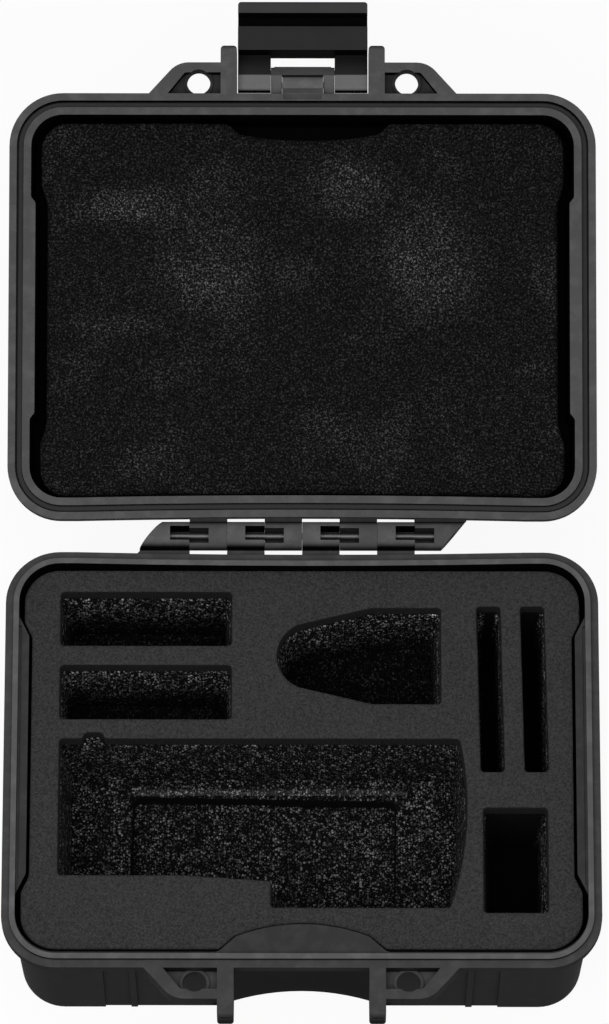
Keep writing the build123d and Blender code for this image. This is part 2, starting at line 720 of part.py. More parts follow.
def latch_lever():
    """Wide lever: two arms with cam ends, a hooking plate and a lip to pull on."""
    plate_end = HOOK_AT + PLATE_LENGTH
    lip_start = plate_end + PULL_GROOVE
    tip = lip_start + LIP_LENGTH
    plate = lever_face(
        [
            (HOOK_AT, -ARM_HALF),
            (HOOK_AT, HOOK_RISE),
            (plate_end, HOOK_RISE - PLATE_FALL),
            (plate_end, PULL_FLOOR),
            (lip_start, PULL_FLOOR),
            (lip_start, LIP_RISE),
            (tip, LIP_RISE),
            (tip, -ARM_HALF),
        ]
    )
    tips = plate.vertices().sort_by(Axis.Y)[:2]
    plate = fillet(tips, LIP_ROUND)
    plan = Rectangle(2 * LEVER_HALF, tip - HOOK_AT, align=(Align.CENTER, Align.MIN))
    plan = Pos(0, LEVER_PIN_Y - tip) * fillet(plan.vertices().sort_by(Axis.Y)[:2], TIP_CORNER)
    body = across(plate, -LEVER_HALF, LEVER_HALF) & plan_block(plan, RIM - HOOK_RISE, RIM + LID_HEIGHT)
    arm = lever_face(
        [
            (-CAM_LENGTH, -ARM_HALF),
            (HOOK_AT + PAST, -ARM_HALF),
            (HOOK_AT + PAST, ARM_SLOPE_TO),
            (-CAM_FLAT, ARM_HALF),
            (-CAM_LENGTH, ARM_HALF),
        ]
    )
    for left, right in ((-LEVER_HALF, -LEVER_INNER), (LEVER_INNER, LEVER_HALF)):
        body += across(arm, left, right)
        body += x_rod(LEVER_PIN_Y + CAM_LENGTH, LINK_PIN_Z, ARM_HALF, left, right)
    for side in (-1, 1):
        body -= lever_pin_rod(side)
    return tilted(body)


def lever_pin_rod(side):
    """Short pin from inside a link leg into a lever arm."""
    start = side * (LINK_INNER + LEVER_PIN_INSET)
    ends = sorted((start, start + side * LEVER_PIN_LENGTH))
    return x_rod(LEVER_PIN_Y, LINK_PIN_Z, LEVER_PIN_RADIUS, *ends)


def foam_block(low, high):
    """Slice of the base's foam between two depths below the rim."""
    whole = drafted_down(foam_plan(), RIM - FOAM_TOP, low - FOAM_TOP, BASE_DRAFT)
    if high == FOAM_TOP:
        return whole
    band = Pos(0, 0, RIM - (low + high) / 2) * Box(FLANGE_WIDTH, FLANGE_DEPTH, low - high)
    return whole & band


def pocket(plan, drop, taper):
    """Cutter for one pocket, narrower toward its floor."""
    return drafted_down(plan, RIM - FOAM_TOP, drop, taper)


def box_plan(left, rear, length, width):
    """Rectangle from its left rear corner, with slightly rounded corners."""
    plan = Rectangle(length, width, align=(Align.MIN, Align.MAX))
    return Pos(left, rear) * fillet(plan.vertices(), POCKET_ROUND)


def camera_left():
    """Left edge of the camera pocket and the two battery pockets."""
    return FOAM_LEFT + LEFT_MARGIN


def camera_rear():
    """Rear edge of the camera pocket, below the two battery pockets."""
    return FOAM_REAR - REAR_MARGIN - 2 * (BATTERY_WIDTH + BATTERY_RIB)


def camera_plan():
    """Long pocket with a stepped front edge and a curved right end."""
    left = camera_left()
    rear = camera_rear()
    right = left + CAMERA_LENGTH
    front = rear - CAMERA_DEPTH
    low = front - CAMERA_STEP
    end = ThreePointArc(
        (right, rear),
        (right + CAMERA_BULGE, (rear + low) / 2 + CAMERA_BULGE_BACK),
        (right - CAMERA_TUCK, low),
    )
    rest = Polyline(
        [
            (right - CAMERA_TUCK, low),
            (left + CAMERA_STEP_AT, low),
            (left + CAMERA_STEP_AT, front - CAMERA_FALL),
            (left + CAMERA_FALL_AT, front),
            (left, front),
            (left, rear),
            (right, rear),
        ]
    )
    return make_face([end, rest])


def nick():
    """Small tear in the sheet at the camera pocket's rear edge."""
    left = camera_left() + NICK_IN
    right = left + NICK_LENGTH
    rear = camera_rear()
    corners = [
        (left, rear - PAST),
        (left + NICK_SLOPE, rear + NICK_RISE),
        (right, rear + NICK_RISE),
        (right + NICK_SLOPE, rear - PAST),
    ]
    face = make_face(Polyline(corners, close=True))
    return plan_block(face, RIM - FOAM_TOP - 2 * SHEET, RIM)


def grip_plan():
    """Pocket that is square at the right, with straight flanks to a rounded nose at the left."""
    right = -FOAM_LEFT - SLOT_MARGIN - 2 * SLOT_WIDTH - SLOT_RIB - GRIP_TO_SLOT
    rear = FOAM_REAR - GRIP_REAR
    nose = right - GRIP_LENGTH
    middle = rear - GRIP_WIDTH / 2
    front = rear - GRIP_WIDTH
    start = right - SHOULDER_IN
    upper = (nose + NOSE_IN, middle + NOSE_HALF)
    lower = (nose + NOSE_IN, middle - NOSE_HALF)
    tip = ThreePointArc(upper, (nose, middle), lower)
    sides = [lower, (start, front), (right, front), (right, rear), (start, rear), upper]
    return make_face([tip, Polyline(sides)])


def slot_plan(index):
    """Long narrow slot that leans slightly; index 0 is the left one of the pair."""
    right = -FOAM_LEFT - SLOT_MARGIN - (1 - index) * (SLOT_WIDTH + SLOT_RIB)
    rear = FOAM_REAR - SLOT_REAR
    front = rear - SLOT_DEPTH
    corners = [
        (right - SLOT_WIDTH, rear),
        (right, rear),
        (right + SLOT_SKEW, front),
        (right - SLOT_WIDTH + SLOT_SKEW, front),
    ]
    return make_face(Polyline(corners, close=True))


def card_plan():
    """Upright rectangular pocket in front of the slots."""
    rear = FOAM_REAR - SLOT_REAR - SLOT_DEPTH - CARD_RIB
    return box_plan(-FOAM_LEFT - CARD_MARGIN - CARD_WIDTH, rear, CARD_WIDTH, CARD_DEPTH)


def pocket_cuts():
    """Cutters of all the pockets, from the foam's top down to the shelf level."""
    drop = SHELF_LEVEL - FOAM_TOP
    rear = FOAM_REAR - REAR_MARGIN
    cuts = [pocket(camera_plan(), drop, CAMERA_TAPER), pocket(grip_plan(), drop, POCKET_TAPER)]
    for _ in range(2):
        plan = box_plan(camera_left(), rear, BATTERY_LENGTH, BATTERY_WIDTH)
        cuts.append(pocket(plan, drop, POCKET_TAPER))
        rear -= BATTERY_WIDTH + BATTERY_RIB
    for index in range(2):
        cuts.append(pocket(slot_plan(index), drop, SLOT_TAPER))
    cuts.append(pocket(card_plan(), drop, POCKET_TAPER))
    return cuts


def base_foam_sheet():
    """Smooth top sheet of the foam, with the pockets cut through it."""
    return foam_block(FOAM_TOP + SHEET, FOAM_TOP) - pocket_cuts() - nick()


def base_foam_upper():
    """Main foam block under the sheet, with the pockets going on through it."""
    return foam_block(SHELF_LEVEL, FOAM_TOP + SHEET + LAYER_GAP) - pocket_cuts()


def base_foam_middle():
    """Layer that makes the camera pocket's shelf, with the recess cut through."""
    high = SHELF_LEVEL + LAYER_GAP
    plan = Rectangle(RECESS_LENGTH, RECESS_DEPTH, align=(Align.MIN, Align.MAX))
    corner = Pos(camera_left() + RECESS_IN, camera_rear() - RECESS_BACK) * Rot(0, 0, -RECESS_TURN)
    plan = corner * fillet(plan.vertices(), RECESS_ROUND)
    hollow = drafted_down(plan, RIM - SHELF_LEVEL, RECESS_LEVEL - SHELF_LEVEL, RECESS_TAPER)
    return foam_block(RECESS_LEVEL, high) - hollow


def base_foam_floor():
    """Bottom sheet of foam on the base's floor."""
    return foam_block(BASE_HEIGHT - FLOOR - LAYER_GAP, RECESS_LEVEL + LAYER_GAP)


def lid_foam():
    """Flat pad in the lid, closed, waisted like the lid, with an arched notch behind the latch."""
    width = FLANGE_WIDTH - 2 * PAD_SIDE
    depth = FLANGE_DEPTH - PAD_FRONT - PAD_REAR
    middle = (PAD_FRONT - PAD_REAR) / 2
    front = FRONT + PAD_FRONT
    plan = waisted(Pos(0, middle) * RectangleRounded(width, depth, PAD_CORNER), width / 2, PAD_WAIST)
    plan -= arch(front, NOTCH_SHIFT, NOTCH_HALF, NOTCH_SHOULDER, NOTCH_SHOULDER_RISE, NOTCH_RISE)
    plan -= rear_bow(PAD_REAR)
    top = BASE_HEIGHT + LID_HEIGHT - LID_TOP - PAD_BACK_GAP
    return plan_block(plan, LID_RIM + PAD_LEVEL, top)


def write(name, shape):
    """Saves one sub-part under its node name."""
    export_step(shape, os.path.join("parts", name + ".step"))


os.makedirs("parts", exist_ok=True)
write("base_shell", base_shell())
write("base_foam_sheet", base_foam_sheet())
write("base_foam_upper", base_foam_upper())
write("base_foam_middle", base_foam_middle())
write("base_foam_floor", base_foam_floor())
write("hinge_pin", hinge_pin())
write("lid_shell", opened(lid_shell()))
write("lid_seal", opened(lid_seal()))
write("lid_foam", opened(lid_foam()))
write("latch_link_pin", opened(link_pin()))
write("latch_link", opened(latch_link()))
write("latch_lever", opened(latch_lever()))
write("latch_lever_pin_left", opened(lever_pin_rod(-1)))
write("latch_lever_pin_right", opened(lever_pin_rod(1)))
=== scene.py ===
"""Looks of a small hard case for a pocket camera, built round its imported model.

The rigid pieces come from the frame and only get their finishes here. The foam in both halves is
modelled here, in the space that its plain solids hold: a smooth top sheet, torn sponge walls under
it and a pad in the lid.
"""

import logging
import math
from dataclasses import dataclass, field
from enum import Enum

import bpy
from mathutils import Matrix, Vector

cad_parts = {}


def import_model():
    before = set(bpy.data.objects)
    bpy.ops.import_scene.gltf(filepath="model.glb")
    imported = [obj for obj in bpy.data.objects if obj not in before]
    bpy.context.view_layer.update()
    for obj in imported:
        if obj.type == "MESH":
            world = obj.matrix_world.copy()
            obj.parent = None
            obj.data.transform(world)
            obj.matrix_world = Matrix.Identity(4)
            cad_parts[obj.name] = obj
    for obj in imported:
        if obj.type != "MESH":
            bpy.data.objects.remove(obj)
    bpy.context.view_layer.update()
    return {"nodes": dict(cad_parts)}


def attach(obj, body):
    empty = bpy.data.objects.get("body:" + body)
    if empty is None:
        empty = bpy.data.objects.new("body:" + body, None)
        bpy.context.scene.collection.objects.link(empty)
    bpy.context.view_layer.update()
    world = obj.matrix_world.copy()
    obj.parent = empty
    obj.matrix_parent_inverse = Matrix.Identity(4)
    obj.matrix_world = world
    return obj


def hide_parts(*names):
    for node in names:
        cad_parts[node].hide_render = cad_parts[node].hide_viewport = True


log = logging.getLogger("camera_case")
MM = 0.001
DOUBLES = 0.002 * MM
SOFT_END = 1.02
RIM = 54.5 * MM
HINGE = (0.0, 72.8 * MM, RIM)
LID_TILT = 13.0
FRONT = -67.5 * MM


class Wire:
    """A shader socket that can be used in sums."""

    def __init__(self, graph: "Graph", socket: bpy.types.NodeSocket) -> None:
        """Keeps the graph and the socket.

        Args:
            graph: Graph that the socket belongs to.
            socket: Output socket that carries the value.
        """
        self.graph = graph
        self.socket = socket

    def _sum(self, operation: str, first: "Wire | float", second: "Wire | float") -> "Wire":
        """Adds one Math node.

        Args:
            operation: Name of the Math node's operation.
            first: First operand.
            second: Second operand.

        Returns:
            The node's result.
        """
        return self.graph.node("ShaderNodeMath", {"operation": operation}, {0: first, 1: second})

    def __add__(self, other: "Wire | float") -> "Wire":
        """Sum with a wire or number."""
        return self._sum("ADD", self, other)

    def __radd__(self, other: float) -> "Wire":
        """Sum with a number on the left."""
        return self._sum("ADD", other, self)

    def __sub__(self, other: "Wire | float") -> "Wire":
        """Difference from a wire or number."""
        return self._sum("SUBTRACT", self, other)

    def __rsub__(self, other: float) -> "Wire":
        """Difference of a number on the left."""
        return self._sum("SUBTRACT", other, self)

    def __mul__(self, other: "Wire | float") -> "Wire":
        """Product with a wire or number."""
        return self._sum("MULTIPLY", self, other)

    def __rmul__(self, other: float) -> "Wire":
        """Product with a number on the left."""
        return self._sum("MULTIPLY", other, self)

    def __truediv__(self, other: "Wire | float") -> "Wire":
        """Quotient by a wire or number."""
        return self._sum("DIVIDE", self, other)

    def __pow__(self, other: float) -> "Wire":
        """Power of the value."""
        return self._sum("POWER", self, other)

    def within(self, half: float) -> "Wire":
        """Mask of the stretch within a distance of 0.

        Args:
            half: The distance.

        Returns:
            1 within it and 0 past it.
        """
        size = self.graph.node("ShaderNodeMath", {"operation": "ABSOLUTE"}, {0: self})
        return 1.0 - size.between(half, half * SOFT_END)

    def between(self, low: float, high: float) -> "Wire":
        """Smooth step of the value.

        Args:
            low: Value that gives 0.
            high: Value that gives 1.

        Returns:
            A mask from 0 to 1.
        """
        return self.graph.node(
            "ShaderNodeMapRange",
            {"interpolation_type": "SMOOTHSTEP"},
            {"Value": self, "From Min": low, "From Max": high},
        )


class Graph:
    """Node graph of one material, or of the world."""

    MIX_SHARE, MIX_FIRST, MIX_SECOND, MIX_RESULT = 0, 6, 7, 2

    def __init__(self, name: str, tree: bpy.types.NodeTree | None = None) -> None:
        """Starts an empty graph.

        Args:
            name: Name of the material.
            tree: The world's tree, or None to make a material.
        """
        if tree is None:
            self.material = bpy.data.materials.new(name)
            self.material.use_nodes = True
            tree = self.material.node_tree
        self.tree = tree
        self.tree.nodes.clear()

    def node(
        self,
        kind: str,
        settings: dict[str, object] | None = None,
        inputs: dict[str | int, object] | None = None,
        output: str | int = 0,
    ) -> Wire:
        """Adds any node.

        Args:
            kind: Type of the node.
            settings: Properties that are set before its sockets; a ramp's stops go under "stops".
            inputs: Values or wires by socket name or number.
            output: Name or number of the output that is wanted.

        Returns:
            The chosen output.
        """
        made = self.tree.nodes.new(kind)
        for name, value in (settings or {}).items():
            if name == "stops":
                self._set_stops(made, value)
            else:
                setattr(made, name, value)
        for name, value in (inputs or {}).items():
            if isinstance(value, Wire):
                self.tree.links.new(value.socket, made.inputs[name])
            else:
                made.inputs[name].default_value = value
        return Wire(self, made.outputs[output])

    @staticmethod
    def _set_stops(made: bpy.types.Node, stops: list[tuple[float, float]]) -> None:
        """Sets the grey stops of a colour ramp.

        Args:
            made: The ramp's node.
            stops: Place and grey level of each stop.
        """
        elements = made.color_ramp.elements
        while len(elements) < len(stops):
            elements.new(1.0)
        for element, (place, level) in zip(elements, stops):
            element.position = place
            element.color = grey(level)

    def place(self, stretch: tuple[float, float, float] = (1.0, 1.0, 1.0)) -> Wire:
        """Object coordinates, stretched.

        Args:
            stretch: Factors along X, Y and Z.

        Returns:
            The coordinates.
        """
        where = self.node("ShaderNodeTexCoord", output="Object")
        return self.node("ShaderNodeMapping", None, {"Vector": where, "Scale": stretch})

    def parts(self, vector: Wire) -> tuple[Wire, Wire, Wire]:
        """Splits a vector.

        Args:
            vector: The vector.

        Returns:
            Its X, Y and Z.
        """
        split = self.node("ShaderNodeSeparateXYZ", None, {0: vector})
        outputs = split.socket.node.outputs
        return Wire(self, outputs[0]), Wire(self, outputs[1]), Wire(self, outputs[2])

    def facing(self, direction: tuple[float, float, float]) -> Wire:
        """How far the surface faces a direction fixed to the piece.

        Args:
            direction: The direction, one long.

        Returns:
            The cosine of the angle between them.
        """
        normal = self.node("ShaderNodeTexCoord", output="Normal")
        values = {0: normal, 1: direction}
        return self.node("ShaderNodeVectorMath", {"operation": "DOT_PRODUCT"}, values, "Value")

    def noise(
        self, size: float, detail: float = 2.0, rough: float = 0.5, at: Wire | None = None
    ) -> Wire:
        """Noise from 0 to 1.

        Args:
            size: Size of its lumps in metres.
            detail: Octaves.
            rough: Weight of the finer octaves.
            at: Coordinates, or None for the object's own.

        Returns:
            The noise.
        """
        values = {
            "Vector": at or self.place(),
            "Scale": 1.0 / size,
            "Detail": detail,
            "Roughness": rough,
        }
        return self.node("ShaderNodeTexNoise", None, values)

    def cells(self, size: float, output: str = "Distance", upright: float = 1.0) -> Wire:
        """Irregular cells over the object's own coordinates.

        Args:
            size: Size of a cell in metres.
            output: "Distance" from the cell's middle, or the cell's own random "Color".
            upright: How much taller than wide a cell is.

        Returns:
            The chosen output.
        """
        values = {"Vector": self.place((1.0, 1.0, 1.0 / upright)), "Scale": 1.0 / size}
        return self.node("ShaderNodeTexVoronoi", None, values, output)

    def mix(self, share: Wire | float, first: object, second: object) -> Wire:
        """Mix of two colours.

        Args:
            share: Share of the second one.
            first: Colour or wire at 0.
            second: Colour or wire at 1.

        Returns:
            The mixed colour.
        """
        made = self.tree.nodes.new("ShaderNodeMix")
        made.data_type = "RGBA"
        wanted = {self.MIX_SHARE: share, self.MIX_FIRST: first, self.MIX_SECOND: second}
        for number, value in wanted.items():
            if isinstance(value, Wire):
                self.tree.links.new(value.socket, made.inputs[number])
            else:
                made.inputs[number].default_value = value
        return Wire(self, made.outputs[self.MIX_RESULT])

    def bump(self, height: Wire, depth: float, under: Wire | None = None) -> Wire:
        """Normal from a height.

        Args:
            height: Height from 0 to 1.
            depth: Depth of the relief in metres.
            under: Normal to start from, or None.

        Returns:
            The normal.
        """
        values = {"Height": height, "Distance": depth, "Strength": 1.0}
        if under is not None:
            values["Normal"] = under
        return self.node("ShaderNodeBump", None, values)

    def rounded(self, radius: float) -> Wire:
        """Normal that rounds the sharp edges.

        Args:
            radius: Radius of the rounding in metres.

        Returns:
            The normal.
        """
        return self.node("ShaderNodeBevel", {"samples": 4}, {"Radius": radius})

    def tone(self, colour: object, factor: Wire | float) -> Wire:
        """Colour made darker or paler.

        Args:
            colour: Colour or wire.
            factor: Number or wire that it is multiplied by.

        Returns:
            The new colour.
        """
        values = {0: colour, "Scale": factor}
        return self.node("ShaderNodeVectorMath", {"operation": "SCALE"}, values, "Vector")

    def finish(self, constants: dict[str, object], varying: dict[str, Wire]) -> bpy.types.Material:
        """Ends the graph in a Principled shader.

        Args:
            constants: Sockets with the same value all over.
            varying: Sockets that follow a wire.

        Returns:
            The finished material.
        """
        shader = self.node("ShaderNodeBsdfPrincipled", None, {**constants, **varying})
        self.show(shader)
        return self.material

    def show(self, shader: Wire, kind: str = "ShaderNodeOutputMaterial") -> None:
        """Connects a shader to an output node."""
        self.tree.links.new(shader.socket, self.tree.nodes.new(kind).inputs[0])


def grey(level: float) -> tuple[float, float, float, float]:
    """Neutral colour of one level."""
    return (level, level, level, 1.0)


@dataclass(frozen=True)
class Leaf:
    """One half of the case: how far its rim is turned from facing up, and its side of the hinge."""

    tilt: float
    side: float

    def spot(self, graph: Graph) -> tuple[Wire, Wire, Wire]:
        """Place on the half as if its rim faced straight up.

        Args:
            graph: Graph that the nodes go to.

        Returns:
            Place along X, distance from the hinge on this half's side, and height over the rim.
        """
        angle = -math.radians(self.tilt)
        shift = Matrix.Rotation(angle, 3, "X") @ -Vector(HINGE)
        where = graph.node("ShaderNodeTexCoord", output="Object")
        values = {"Vector": where, "Location": shift, "Rotation": (angle, 0.0, 0.0)}
        along, away, height = graph.parts(graph.node("ShaderNodeMapping", None, values))
        return along, away * self.side, height

    def up(self) -> tuple[float, float, float]:
        """Direction in which the half's rim faces."""
        angle = math.radians(self.tilt)
        return (0.0, -math.sin(angle), math.cos(angle))

    def middle(self) -> Vector:
        """Middle of the half's rim plane."""
        turn = Matrix.Rotation(math.radians(self.tilt), 3, "X")
        return Vector(HINGE) + turn @ Vector((0.0, self.side * HINGE[1], 0.0))


BASE_LEAF = Leaf(0.0, -1.0)
LID_LEAF = Leaf(LID_TILT, 1.0)


@dataclass(frozen=True)
class ShellPlastic:
    """Black moulded plastic of one half: painted highlight on the rim, ridge and lug, painted shade
    on the walls and inside.

    Each pair is where a mask starts and ends. Levels are heights over the rim, and the lug and the
    scoop are placed by their distance from the hinge.
    """

    name: str
    leaf: Leaf
    # These grey levels are painted light: the paler ones on upward faces stand for light, and wall
    # and hollow are painted shade.
    rim: float
    ridge: float
    ledge: float
    web: float
    wall: float
    hollow: float
    lug: float
    roughness: float = 0.62
    rougher: float = 0.08
    grain: float = 0.28 * MM
    grain_depth: float = 0.018 * MM
    edge: float = 0.3 * MM
    specular: float = 0.015
    faces_up: tuple[float, float] = (0.35, 0.8)
    web_level: tuple[float, float] = (-6.5 * MM, -5.5 * MM)
    ledge_level: tuple[float, float] = (-0.95 * MM, -0.7 * MM)
    rim_level: tuple[float, float] = (-0.35 * MM, -0.25 * MM)
    ridge_level: tuple[float, float] = (1.1 * MM, 1.4 * MM)
    lug_from: tuple[float, float] = (HINGE[1] - FRONT - 0.2 * MM, HINGE[1] - FRONT)
    lug_half: float = 6.6 * MM
    scoop_top: tuple[float, float] = (-4.2 * MM, -3.6 * MM)
    scoop_from: tuple[float, float] = (HINGE[1] - FRONT - 12.0 * MM, HINGE[1] - FRONT - 11.0 * MM)
    scoop_half: float = 27.0 * MM
    inner_edge: tuple[float, float] = (-2.0 * MM, 2.0 * MM)
    cloud: float = 22 * MM
    rub: float = 5 * MM
    rub_range: tuple[float, float] = (0.42, 0.7)
    shares: tuple[float, float, float] = (0.35, 0.3, 0.35)
    darkest: float = 0.6
    contrast: float = 0.8

    def build(self) -> bpy.types.Material:
        """Makes the material.

        Returns:
            The finished material.
        """
        graph = Graph(self.name)
        along, away, height = self.leaf.spot(graph)
        # Upward faces take the level tones and the rest take the wall tones: painted highlight on
        # faces turned to the light, painted shade on the sides.
        up = graph.facing(self.leaf.up()).between(*self.faces_up)
        # Below the web the inside is black: painted shade in the hollow.
        deep = graph.mix(height.between(*self.web_level), grey(self.hollow), grey(self.web))
        stepped = graph.mix(height.between(*self.ledge_level), deep, grey(self.ledge))
        band = graph.mix(height.between(*self.rim_level), stepped, grey(self.rim))
        flat = graph.mix(height.between(*self.ridge_level), band, grey(self.ridge))
        # The scoop under the front rim is black: painted shade under the flange.
        scooped = along.within(self.scoop_half) * (1.0 - height.between(*self.scoop_top))
        scooped = scooped * away.between(*self.scoop_from)
        wall = graph.mix(scooped, grey(self.wall), grey(self.hollow))
        # Faces turned to the middle of the half are black: painted shade inside.
        side = graph.mix(self._inside(graph), wall, grey(self.hollow))
        plain = graph.mix(up, side, flat)
        # Upward faces of the lug are paler: painted highlight.
        lug = away.between(*self.lug_from) * along.within(self.lug_half)
        wear_and_painted_light = graph.mix(lug * up, plain, grey(self.lug))
        broad = graph.noise(self.cloud, detail=3.0)
        rubbed = graph.noise(self.rub, detail=4.0, rough=0.6).between(*self.rub_range)
        sparks = graph.noise(self.grain, detail=2.0, rough=0.6)
        share = broad * self.shares[0] + rubbed * self.shares[1] + sparks * self.shares[2]
        colour = graph.tone(wear_and_painted_light, self.darkest + share * self.contrast)
        normal = graph.bump(sparks, self.grain_depth, graph.rounded(self.edge))
        roughness = self.roughness + broad * self.rougher
        return graph.finish(
            {"Specular IOR Level": self.specular},
            {"Base Color": colour, "Roughness": roughness, "Normal": normal},
        )

    def _inside(self, graph: Graph) -> Wire:
        """Mask of the faces that look towards the middle of the half.

        Args:
            graph: Graph that the nodes go to.

        Returns:
            1 on the hollow's walls, which get black painted shade.
        """
        normal = graph.node("ShaderNodeTexCoord", output="Normal")
        where = graph.node("ShaderNodeTexCoord", output="Object")
        from_middle = {0: where, 1: self.leaf.middle()}
        offset = graph.node("ShaderNodeVectorMath", {"operation": "SUBTRACT"}, from_middle)
        both = {0: offset, 1: normal}
        outward = graph.node("ShaderNodeVectorMath", {"operation": "DOT_PRODUCT"}, both, "Value")
        return 1.0 - outward.between(*self.inner_edge)


@dataclass(frozen=True)
class LatchPlastic:
    """Smoother black plastic of the latch: painted highlight on its cam ends and lip, painted shade
    on its arms, groove and the faces that do not face up.

    Each pair is where a mask starts and ends, measured from the lever's pins, whose place along Y
    and height is in pins.
    """

    name: str
    plate: float
    cam: float
    recess: float
    lip: float
    pins: tuple[float, float] = (218.26 * MM, 81.92 * MM)
    faces_up: tuple[float, float] = (0.45, 0.8)
    cam_to: tuple[float, float] = (-1.6 * MM, -1.2 * MM)
    arm_span: tuple[float, float] = (-1.0 * MM, 5.8 * MM)
    arm_shares: tuple[float, float] = (0.75, 0.3)
    hook: tuple[float, float] = (5.5 * MM, 5.8 * MM)
    plate_to: tuple[float, float] = (13.9 * MM, 14.3 * MM)
    lip_from: tuple[float, float] = (17.5 * MM, 17.9 * MM)
    groove_level: tuple[float, float] = (2.0 * MM, 2.8 * MM)
    cloud: float = 9 * MM
    grain: float = 0.3 * MM
    grain_depth: float = 0.01 * MM
    edge: float = 0.3 * MM
    darkest: float = 0.7
    shares: tuple[float, float] = (0.25, 0.35)
    roughness: float = 0.5
    rougher: float = 0.1
    specular: float = 0.005

    def build(self) -> bpy.types.Material:
        """Makes the material.

        Returns:
            The finished material.
        """
        graph = Graph(self.name)
        _, away, height = graph.parts(graph.place())
        along = away - self.pins[0]
        level = height - self.pins[1]
        # Faces that do not face up take the recess level: painted shade.
        up = graph.facing((0.0, 0.0, 1.0)).between(*self.faces_up)
        # The arms darken away from the cam ends: painted shade.
        near, far = (grey(self.plate * part) for part in self.arm_shares)
        slope = graph.mix(along.between(*self.arm_span), near, far)
        # The cam ends are pale: painted highlight.
        arm = graph.mix(along.between(*self.cam_to), grey(self.cam), slope)
        plate = graph.mix(along.between(*self.hook), arm, grey(self.plate))
        # The lip is paler than the plate: painted highlight.
        face = graph.mix(along.between(*self.lip_from), plate, grey(self.lip))
        # The groove in the plate is black: painted shade.
        sunk = along.between(*self.plate_to) * (1.0 - level.between(*self.groove_level))
        top = graph.mix(sunk, face, grey(self.recess))
        plain = graph.mix(up, grey(self.recess), top)
        broad = graph.noise(self.cloud, detail=3.0)
        fine = graph.noise(self.grain, detail=2.0, rough=0.6)
        share = broad * self.shares[0] + fine * self.shares[1]
        return graph.finish(
            {"Specular IOR Level": self.specular},
            {
                "Base Color": graph.tone(plain, self.darkest + share),
                "Roughness": self.roughness + broad * self.rougher,
                "Normal": graph.bump(fine, self.grain_depth, graph.rounded(self.edge)),
            },
        )


@dataclass(frozen=True)
class SheetFoam:
    """Fine closed foam of the top sheet, with darker cut edges."""

    name: str
    level: float
    edge: float
    grain: float = 0.55 * MM
    grain_range: tuple[float, float] = (0.25, 0.75)
    grain_depth: float = 0.05 * MM
    cloud: float = 18 * MM
    faces_up: tuple[float, float] = (0.35, 0.85)
    darkest: float = 0.4
    cloud_share: float = 0.2
    specular: float = 0.08
    roughness: float = 0.95

    def build(self) -> bpy.types.Material:
        """Makes the material.

        Returns:
            The finished material.
        """
        graph = Graph(self.name)
        fine = graph.noise(self.grain, detail=2.0, rough=0.7).between(*self.grain_range)
        broad = graph.noise(self.cloud, detail=3.0)
        up = graph.facing((0.0, 0.0, 1.0)).between(*self.faces_up)
        plain = graph.mix(up, grey(self.edge), grey(self.level))
        colour = graph.tone(plain, self.darkest + fine + broad * self.cloud_share)
        return graph.finish(
            {"Specular IOR Level": self.specular, "Roughness": self.roughness},
            {"Base Color": colour, "Normal": graph.bump(fine, self.grain_depth)},
        )


@dataclass(frozen=True)
class Rectangle:
    """Rectangle of the foam, with soft edges along X and Y."""

    left: float
    right: float
    front: float
    rear: float
    soft: float = 1.0 * MM

    def mask(self, along: Wire, away: Wire) -> Wire:
        """Shape of the rectangle.

        Args:
            along: Place along X.
            away: Place along Y.

        Returns:
            1 inside it and 0 outside.
        """
        mask = along.between(self.left, self.left + self.soft)
        mask = mask * (1.0 - along.between(self.right, self.right + self.soft))
        mask = mask * away.between(self.front, self.front + self.soft)
        return mask * (1.0 - away.between(self.rear, self.rear + self.soft))


